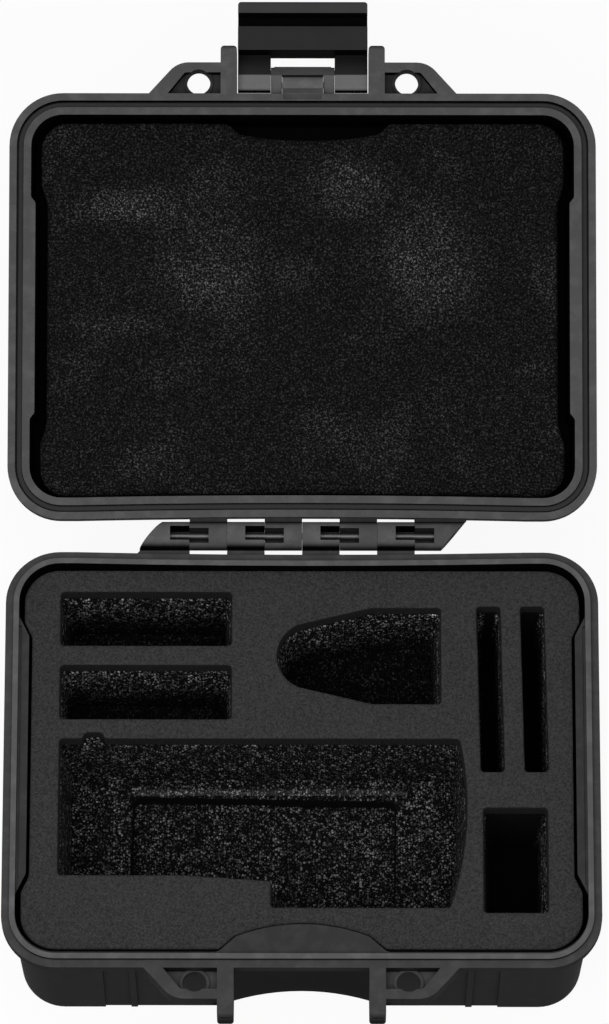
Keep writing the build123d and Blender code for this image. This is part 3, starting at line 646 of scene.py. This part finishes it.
@dataclass(frozen=True)
class TornFoam:
    """Coarse torn foam with pale flecks, with painted shade toward the floors of the narrow pockets
    and painted light that decides where the flecks show.

    Each pair is where a mask starts and ends: places along X or Y, or depths below the rim.
    """

    name: str
    ground: float
    fleck: float
    camera_share: float = 0.6
    rim_share: float = 0.0
    cell: float = 0.8 * MM
    upright: float = 1.7
    small_cell: float = 0.6
    small_share: float = 0.7
    # fading, low and camera_low set the painted shade with depth.
    fading: tuple[float, float] = (12.0 * MM, 32.0 * MM)
    low: float = 0.12
    camera: Rectangle = Rectangle(-79.0 * MM, 53.0 * MM, -52.0 * MM, 9.5 * MM)
    camera_low: float = 0.8
    slots: tuple[float, float] = (56.0 * MM, 57.0 * MM)
    faces_left: tuple[float, float] = (0.3, 0.7)
    recess: tuple[float, float] = (-53.5 * MM, 31.0 * MM)
    rim_from: tuple[float, float] = (-0.7 * MM, -0.5 * MM)
    rim_to: tuple[float, float] = (0.6 * MM, 1.9 * MM)
    rim_gain: float = 0.8
    below_shelf: tuple[float, float] = (35.8 * MM, 36.6 * MM)
    faces_up: tuple[float, float] = (0.5, 0.8)
    chances: tuple[float, float] = (0.48, 1.0)
    crumb: tuple[float, float] = (0.25, 0.6)
    fine_cell: float = 0.5
    fine_range: tuple[float, float] = (0.35, 0.7)
    fine_share: float = 0.7
    patch: float = 6 * MM
    patch_range: tuple[float, float] = (0.35, 0.65)
    patch_share: float = 0.6
    ground_shares: tuple[float, float] = (0.4, 1.6)
    relief: float = 0.35 * MM
    fine_relief: float = 0.6
    specular: float = 0.06
    roughness: float = 0.97

    def build(self) -> bpy.types.Material:
        """Makes the material.

        Returns:
            The finished material.
        """
        graph = Graph(self.name)
        along, away, height = graph.parts(graph.place())
        depth = RIM - height
        camera = self.camera.mask(along, away)
        # Painted shade: darker with depth, less in the camera pocket.
        fade = self._fade(depth, camera)
        fine = graph.noise(self.cell * self.fine_cell, detail=3.0, rough=0.7)
        fine = fine.between(*self.fine_range)
        rim = self._rim(along, away)
        torn = self._crumbs(graph, self.cell)
        torn = torn + self._crumbs(graph, self.cell * self.small_cell) * self.small_share
        share = torn * (1.0 - self.fine_share + fine * self.fine_share) * self._patches(graph)
        # Flecks are kept only where light falls and dropped on the shaded recess walls: painted
        # light and painted shade.
        share = share * fade * self._lit(graph, along, camera) * self._shown(graph, depth)
        # The rear edge of the recess gets a painted highlight.
        share = share * (1.0 + rim * self.rim_gain) + rim * fine * self.rim_share
        dark, pale = (grey(self.ground * part) for part in self.ground_shares)
        # The ground darkens with the painted shade.
        ground = graph.tone(graph.mix(fine, dark, pale), fade)
        relief = graph.cells(self.cell) + fine * self.fine_relief
        return graph.finish(
            {"Specular IOR Level": self.specular, "Roughness": self.roughness},
            {
                "Base Color": graph.mix(share, ground, grey(self.fleck)),
                "Normal": graph.bump(relief, self.relief),
            },
        )

    def _fade(self, depth: Wire, camera: Wire) -> Wire:
        """Painted shade toward the pockets' floors, less in the wide camera pocket.

        Args:
            depth: Depth below the rim.
            camera: Mask of the camera pocket.

        Returns:
            A factor for the colour.
        """
        deep = depth.between(*self.fading)
        wide = 1.0 - deep * (1.0 - self.camera_low)
        narrow = 1.0 - deep * (1.0 - self.low)
        return camera * wide + (1.0 - camera) * narrow

    def _rim(self, along: Wire, away: Wire) -> Wire:
        """Mask of the painted highlight along the recess's rear edge.

        Args:
            along: Place along X.
            away: Place along Y.

        Returns:
            1 on the line.
        """
        soft = self.camera.soft
        line = away.between(*self.rim_from) - away.between(*self.rim_to)
        line = line * along.between(self.recess[0], self.recess[0] + soft)
        return line * (1.0 - along.between(self.recess[1], self.recess[1] + soft))

    def _lit(self, graph: Graph, along: Wire, camera: Wire) -> Wire:
        """Share of the flecks by pocket, as painted light: in the slots and the card pocket only on
        the right walls, which face the light.

        Args:
            graph: Graph that the nodes go to.
            along: Place along X.
            camera: Mask of the camera pocket.

        Returns:
            A factor for the flecks.
        """
        left = graph.facing((-1.0, 0.0, 0.0)).between(*self.faces_left)
        narrow = 1.0 - along.between(*self.slots) * (1.0 - left)
        return narrow * (1.0 - camera * (1.0 - self.camera_share))

    def _patches(self, graph: Graph) -> Wire:
        """Broad change in how many flecks there are."""
        broad = graph.noise(self.patch, detail=2.0).between(*self.patch_range)
        return 1.0 - self.patch_share + broad * self.patch_share

    def _crumbs(self, graph: Graph, size: float) -> Wire:
        """Torn crumbs, each of its own brightness.

        Args:
            graph: Graph that the nodes go to.
            size: Size of a crumb in metres.

        Returns:
            Brightness from 0 to 1.
        """
        chance, _, _ = graph.parts(graph.cells(size, "Color", self.upright))
        middle = 1.0 - graph.cells(size, "Distance", self.upright).between(*self.crumb)
        return chance.between(*self.chances) * middle

    def _shown(self, graph: Graph, depth: Wire) -> Wire:
        """Mask of painted shade that keeps the walls of the recess dark.

        Args:
            graph: Graph that the nodes go to.
            depth: Depth below the rim.

        Returns:
            0 on those walls and 1 elsewhere.
        """
        wall = 1.0 - graph.facing((0.0, 0.0, 1.0)).between(*self.faces_up)
        return 1.0 - wall * depth.between(*self.below_shelf)


@dataclass(frozen=True)
class Spot:
    """Soft oval patch: its place along X and away from the hinge, and its half sizes."""

    along: float
    away: float
    half_along: float
    half_away: float
    soft: tuple[float, float] = (0.1, 1.4)

    def mask(self, graph: Graph, along: Wire, away: Wire) -> Wire:
        """Shape of the patch.

        Args:
            graph: Graph that the nodes go to.
            along: Place along X.
            away: Distance from the hinge.

        Returns:
            1 in its middle and 0 well outside.
        """
        across = (along - self.along) / self.half_along
        down = (away - self.away) / self.half_away
        size = (across * across + down * down) ** 0.5
        return 1.0 - size.between(*self.soft)


@dataclass(frozen=True)
class PadFoam:
    """Fine open foam of the lid's pad, with paler rubbed patches."""

    name: str
    level: float
    fleck: float
    grain: float = 0.62 * MM
    spots: tuple[Spot, ...] = (
        Spot(-28.0 * MM, 85.0 * MM, 19.0 * MM, 15.0 * MM),
        Spot(15.0 * MM, 111.0 * MM, 15.0 * MM, 10.0 * MM),
        Spot(39.0 * MM, 86.0 * MM, 19.0 * MM, 17.0 * MM),
        Spot(-56.0 * MM, 105.0 * MM, 15.0 * MM, 6.0 * MM),
        Spot(-58.0 * MM, 67.0 * MM, 14.0 * MM, 4.0 * MM),
    )
    cloud: float = 14 * MM
    cloud_range: tuple[float, float] = (0.35, 0.65)
    cloud_share: float = 0.65
    broad: float = 24 * MM
    broad_range: tuple[float, float] = (0.5, 0.7)
    broad_share: float = 0.3
    ground_range: tuple[float, float] = (0.35, 0.65)
    ground_shares: tuple[float, float] = (0.15, 1.6)
    darkest: float = 0.7
    contrast: float = 1.3
    fleck_range: tuple[float, float] = (0.52, 0.7)
    fleck_low: float = 0.2
    relief: float = 0.14 * MM
    specular: float = 0.06
    roughness: float = 0.97

    def build(self) -> bpy.types.Material:
        """Makes the material.

        Returns:
            The finished material.
        """
        graph = Graph(self.name)
        patches = self._patches(graph)
        fine = graph.noise(self.grain, detail=3.0, rough=0.75)
        dark, pale = (grey(self.level * part) for part in self.ground_shares)
        ground = graph.mix(fine.between(*self.ground_range), dark, pale)
        ground = graph.tone(ground, self.darkest + patches * self.contrast)
        flecks = fine.between(*self.fleck_range)
        flecks = flecks * (self.fleck_low + patches * (1.0 - self.fleck_low))
        return graph.finish(
            {"Specular IOR Level": self.specular, "Roughness": self.roughness},
            {
                "Base Color": graph.mix(flecks, ground, grey(self.fleck)),
                "Normal": graph.bump(fine, self.relief),
            },
        )

    def _patches(self, graph: Graph) -> Wire:
        """Cloudy patches where the pad is rubbed.

        Args:
            graph: Graph that the nodes go to.

        Returns:
            About 1 in the patches and 0 elsewhere.
        """
        along, away, _ = LID_LEAF.spot(graph)
        first, *others = self.spots
        wear_and_painted_light = first.mask(graph, along, away)
        for spot in others:
            wear_and_painted_light = wear_and_painted_light + spot.mask(graph, along, away)
        cloudy = graph.noise(self.cloud, detail=4.0, rough=0.6).between(*self.cloud_range)
        wear_and_painted_light = wear_and_painted_light * (1.0 - self.cloud_share + cloudy * self.cloud_share)
        broad = graph.noise(self.broad, detail=3.0, rough=0.55).between(*self.broad_range)
        return wear_and_painted_light + broad * self.broad_share


@dataclass(frozen=True)
class SealRubber:
    """Dull rubber cord."""

    name: str = "seal_rubber"
    level: float = 0.02
    shades: tuple[float, float] = (0.8, 1.4)
    dust: float = 3 * MM
    relief: float = 0.03 * MM
    specular: float = 0.15
    roughness: float = 0.6
    rougher: float = 0.15

    def build(self) -> bpy.types.Material:
        """Makes the material.

        Returns:
            The finished material.
        """
        graph = Graph(self.name)
        dust = graph.noise(self.dust, detail=4.0, rough=0.65)
        dark, pale = (grey(self.level * part) for part in self.shades)
        return graph.finish(
            {"Specular IOR Level": self.specular},
            {
                "Base Color": graph.mix(dust, dark, pale),
                "Roughness": self.roughness + dust * self.rougher,
                "Normal": graph.bump(dust, self.relief),
            },
        )


@dataclass(frozen=True)
class PinSteel:
    """Blackened steel rod, drawn along its length."""

    name: str = "pin_steel"
    level: float = 0.06
    shades: tuple[float, float] = (0.7, 1.4)
    line: float = 0.4 * MM
    stretch: tuple[float, float, float] = (0.05, 1.0, 1.0)
    metallic: float = 0.8
    roughness: float = 0.35
    rougher: float = 0.2

    def build(self) -> bpy.types.Material:
        """Makes the material.

        Returns:
            The finished material.
        """
        graph = Graph(self.name)
        drawn = graph.noise(self.line, detail=3.0, rough=0.6, at=graph.place(self.stretch))
        dark, pale = (grey(self.level * part) for part in self.shades)
        return graph.finish(
            {"Metallic": self.metallic},
            {
                "Base Color": graph.mix(drawn, dark, pale),
                "Roughness": self.roughness + drawn * self.rougher,
            },
        )


class Finish(Enum):
    """Finishes of the case, by the pieces that they cover."""

    # Shell levels are painted light: paler tones on upward faces, and wall and hollow darker as
    # painted shade.
    BASE = ShellPlastic(
        "base_plastic",
        BASE_LEAF,
        rim=0.049,
        ridge=0.09,
        ledge=0.036,
        web=0.048,
        wall=0.013,
        hollow=0.001,
        lug=0.048,
    )
    LID = ShellPlastic(
        "lid_plastic",
        LID_LEAF,
        rim=0.076,
        ridge=0.076,
        ledge=0.06,
        web=0.03,
        wall=0.02,
        hollow=0.001,
        lug=0.115,
    )
    # Latch levels are painted light: cam and lip paler as painted highlight, recess black as
    # painted shade.
    LEVER = LatchPlastic("lever_plastic", plate=0.027, cam=0.14, recess=0.002, lip=0.046)
    LINK = LatchPlastic("link_plastic", plate=0.066, cam=0.1, recess=0.002, lip=0.066)
    SEAL = SealRubber()
    PIN = PinSteel()
    SHEET = SheetFoam("foam_sheet", level=0.029, edge=0.012)
    # The torn foams carry painted shade with depth and a painted highlight on the recess's rear
    # edge.
    TORN = TornFoam("foam_torn", ground=0.004, fleck=0.85)
    SHELF = TornFoam("foam_shelf", ground=0.003, fleck=0.42, camera_share=1.0, rim_share=0.12)
    PAD = PadFoam("foam_pad", level=0.006, fleck=0.17)


class Workshop:
    """Steps that the modelled pieces share."""

    @staticmethod
    def only(piece: bpy.types.Object) -> None:
        """Deselects everything and makes one piece active.

        Args:
            piece: The piece.
        """
        bpy.ops.object.select_all(action="DESELECT")
        piece.select_set(True)
        bpy.context.view_layer.objects.active = piece

    @classmethod
    def copy_of(cls, node: str, name: str) -> bpy.types.Object:
        """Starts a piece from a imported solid's own surface.

        Args:
            node: Name of the solid.
            name: Name of the new piece.

        Returns:
            The copy, with its doubles merged.
        """
        solid = bpy.data.objects[node]
        piece = bpy.data.objects.new(name, solid.data.copy())
        bpy.context.scene.collection.objects.link(piece)
        cls.only(piece)
        bpy.ops.object.mode_set(mode="EDIT")
        bpy.ops.mesh.select_all(action="SELECT")
        bpy.ops.mesh.remove_doubles(threshold=DOUBLES)
        bpy.ops.object.mode_set(mode="OBJECT")
        piece.data.materials.clear()
        return piece

    @classmethod
    def add_modifier(cls, piece: bpy.types.Object, kind: str, **settings: object) -> None:
        """Adds a modifier and applies it.

        Args:
            piece: Piece that is changed.
            kind: Type of the modifier.
            settings: Its properties.
        """
        cls.only(piece)
        made = piece.modifiers.new(kind.lower(), kind)
        for name, value in settings.items():
            setattr(made, name, value)
        bpy.ops.object.modifier_apply(modifier=made.name)


@dataclass(frozen=True)
class Tear:
    """Unevenness of a foam surface: how deep and how wide its lumps are."""

    depth: float
    size: float
    octaves: int = 2
    middle: float = 0.62


FINE_TEAR = Tear(0.12 * MM, 3 * MM)
DEEP_TEAR = Tear(0.4 * MM, 1.6 * MM)
SOFT_SWELL = Tear(0.2 * MM, 5 * MM)


@dataclass
class FoamPiece:
    """One foam layer or pad, remeshed so that its edges soften and its cut sides can be torn."""

    name: str
    node: str
    body: str
    finish: Finish
    voxel: float
    tear: Tear
    fill: float = 0.8

    def build(self) -> bpy.types.Object:
        """Makes the piece.

        Returns:
            The finished piece.
        """
        piece = Workshop.copy_of(self.node, self.name)
        Workshop.add_modifier(
            piece, "REMESH", mode="VOXEL", voxel_size=self.voxel, use_smooth_shade=True
        )
        lumps = bpy.data.textures.new(self.name, "CLOUDS")
        lumps.noise_scale = self.tear.size
        lumps.noise_depth = self.tear.octaves
        Workshop.add_modifier(
            piece,
            "DISPLACE",
            texture=lumps,
            texture_coords="LOCAL",
            strength=self.tear.depth,
            mid_level=self.tear.middle,
        )
        piece.data.materials.append(self.finish.value.build())
        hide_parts(self.node)
        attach(piece, self.body)
        return piece


@dataclass
class FoamSet:
    """All foam of the case."""

    pieces: list[FoamPiece] = field(
        default_factory=lambda: [
            FoamPiece("foam_sheet", "base_foam_sheet", "base", Finish.SHEET, 0.55 * MM, FINE_TEAR),
            FoamPiece("cut_foam", "base_foam_upper", "base", Finish.TORN, 1.0 * MM, DEEP_TEAR),
            FoamPiece("foam_shelf", "base_foam_middle", "base", Finish.SHELF, 1.1 * MM, DEEP_TEAR),
            FoamPiece("foam_floor", "base_foam_floor", "base", Finish.SHELF, 1.3 * MM, DEEP_TEAR),
            FoamPiece("lid_pad", "lid_foam", "lid", Finish.PAD, 1.2 * MM, SOFT_SWELL),
        ]
    )

    def build(self) -> list[bpy.types.Object]:
        """Makes every piece.

        Returns:
            The finished pieces.
        """
        return [piece.build() for piece in self.pieces]


@dataclass
class HardParts:
    """The rigid nodes, which keep their meshes and get their finishes."""

    finishes: dict[str, Finish] = field(
        default_factory=lambda: {
            "base_shell": Finish.BASE,
            "lid_shell": Finish.LID,
            "latch_link": Finish.LINK,
            "latch_lever": Finish.LEVER,
            "lid_seal": Finish.SEAL,
            "hinge_pin": Finish.PIN,
            "latch_link_pin": Finish.PIN,
            "latch_lever_pin_left": Finish.PIN,
            "latch_lever_pin_right": Finish.PIN,
        }
    )

    def dress(self, nodes: dict[str, bpy.types.Object]) -> None:
        """Assigns the finishes.

        Args:
            nodes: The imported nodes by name.
        """
        made: dict[Finish, bpy.types.Material] = {}
        for name, finish in self.finishes.items():
            if finish not in made:
                made[finish] = finish.value.build()
            slots = nodes[name].data.materials
            slots.clear()
            slots.append(made[finish])
            log.info("dressed %s as %s", name, finish.name)


@dataclass
class Studio:
    """Plain floor, soft light from above and the photograph's camera."""

    floor_half: float = 1.5
    floor_level: float = 0.8
    floor_glow: float = 0.93
    lamp_height: float = 1.1
    lamp_size: float = 1.2
    lamp_forward: float = -0.4
    lamp_side: float = -0.2
    lamp_power: float = 15.0
    world_level: float = 0.3
    lens: float = 264.095
    film: float = 36.0
    elevation: float = 69.537
    distance: float = 2341.4 * MM
    look_at: tuple[float, float, float] = (0.731 * MM, 79.996 * MM, RIM + 2.45 * MM)
    roll: float = 0.068
    clip: tuple[float, float] = (0.1, 20.0)

    def _seen(self, graph: Graph) -> Wire:
        """Mask of the rays that see the white background.

        Args:
            graph: Graph that the nodes go to.

        Returns:
            1 for those rays and 0 for the ones that light the case.
        """
        kinds = ("Is Camera Ray", "Is Glossy Ray", "Is Transmission Ray")
        masks = [graph.node("ShaderNodeLightPath", output=kind) for kind in kinds]
        total = masks[0] + masks[1] + masks[2]
        return graph.node("ShaderNodeMath", {"operation": "MINIMUM"}, {0: total, 1: 1.0})

    def floor(self) -> bpy.types.Object:
        """Makes the floor.

        Returns:
            The floor.
        """
        bpy.ops.object.select_all(action="DESELECT")
        bpy.ops.mesh.primitive_plane_add(size=2 * self.floor_half, location=(0, 0, 0))
        plane = bpy.context.object
        plane.name = "floor"
        graph = Graph("floor")
        paper = graph.node("ShaderNodeBsdfDiffuse", None, {"Color": grey(self.floor_level)})
        white = graph.node("ShaderNodeEmission", None, {"Color": grey(1.0), "Strength": 1.0})
        glow = self._seen(graph) * self.floor_glow
        graph.show(graph.node("ShaderNodeMixShader", None, {0: glow, 1: paper, 2: white}))
        plane.data.materials.append(graph.material)
        return plane

    def light(self) -> None:
        """Adds the soft lamp and the pale surroundings."""
        lamp = bpy.data.lights.new("overhead", "AREA")
        lamp.shape = "SQUARE"
        lamp.size = self.lamp_size
        lamp.energy = self.lamp_power
        holder = bpy.data.objects.new("overhead", lamp)
        holder.location = (self.lamp_side, self.lamp_forward, self.lamp_height)
        bpy.context.scene.collection.objects.link(holder)
        world = bpy.data.worlds.new("surroundings")
        bpy.context.scene.world = world
        world.use_nodes = True
        graph = Graph("surroundings", world.node_tree)
        white = graph.node("ShaderNodeBackground", None, {"Color": grey(1.0), "Strength": 1.0})
        values = {"Color": grey(1.0), "Strength": self.world_level}
        around = graph.node("ShaderNodeBackground", None, values)
        both = graph.node("ShaderNodeMixShader", None, {0: self._seen(graph), 1: around, 2: white})
        graph.show(both, "ShaderNodeOutputWorld")

    def camera(self) -> bpy.types.Object:
        """Sets the camera.

        Returns:
            The camera.
        """
        made = bpy.data.cameras.new("camera")
        made.sensor_fit = "VERTICAL"
        made.sensor_height = self.film
        made.lens = self.lens
        made.clip_start, made.clip_end = self.clip
        holder = bpy.data.objects.new("camera", made)
        bpy.context.scene.collection.objects.link(holder)
        height = math.radians(self.elevation)
        away = Vector((0.0, -math.cos(height), math.sin(height)))
        turn = Matrix.Rotation(math.radians(90.0 - self.elevation), 4, "X")
        roll = Matrix.Rotation(math.radians(self.roll), 4, "Z")
        shift = Matrix.Translation(Vector(self.look_at) + away * self.distance)
        holder.matrix_world = shift @ turn @ roll
        bpy.context.scene.camera = holder
        return holder


def main() -> None:
    """Builds the scene."""
    logging.basicConfig(level=logging.INFO, format="%(message)s")
    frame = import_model()
    HardParts().dress(frame["nodes"])
    for piece in FoamSet().build():
        log.info("made %s with %d faces", piece.name, len(piece.data.polygons))
    studio = Studio()
    studio.floor()
    studio.light()
    studio.camera()
    scene = bpy.context.scene
    scene.view_settings.view_transform = "Standard"


if __name__ == "__main__":
    main()
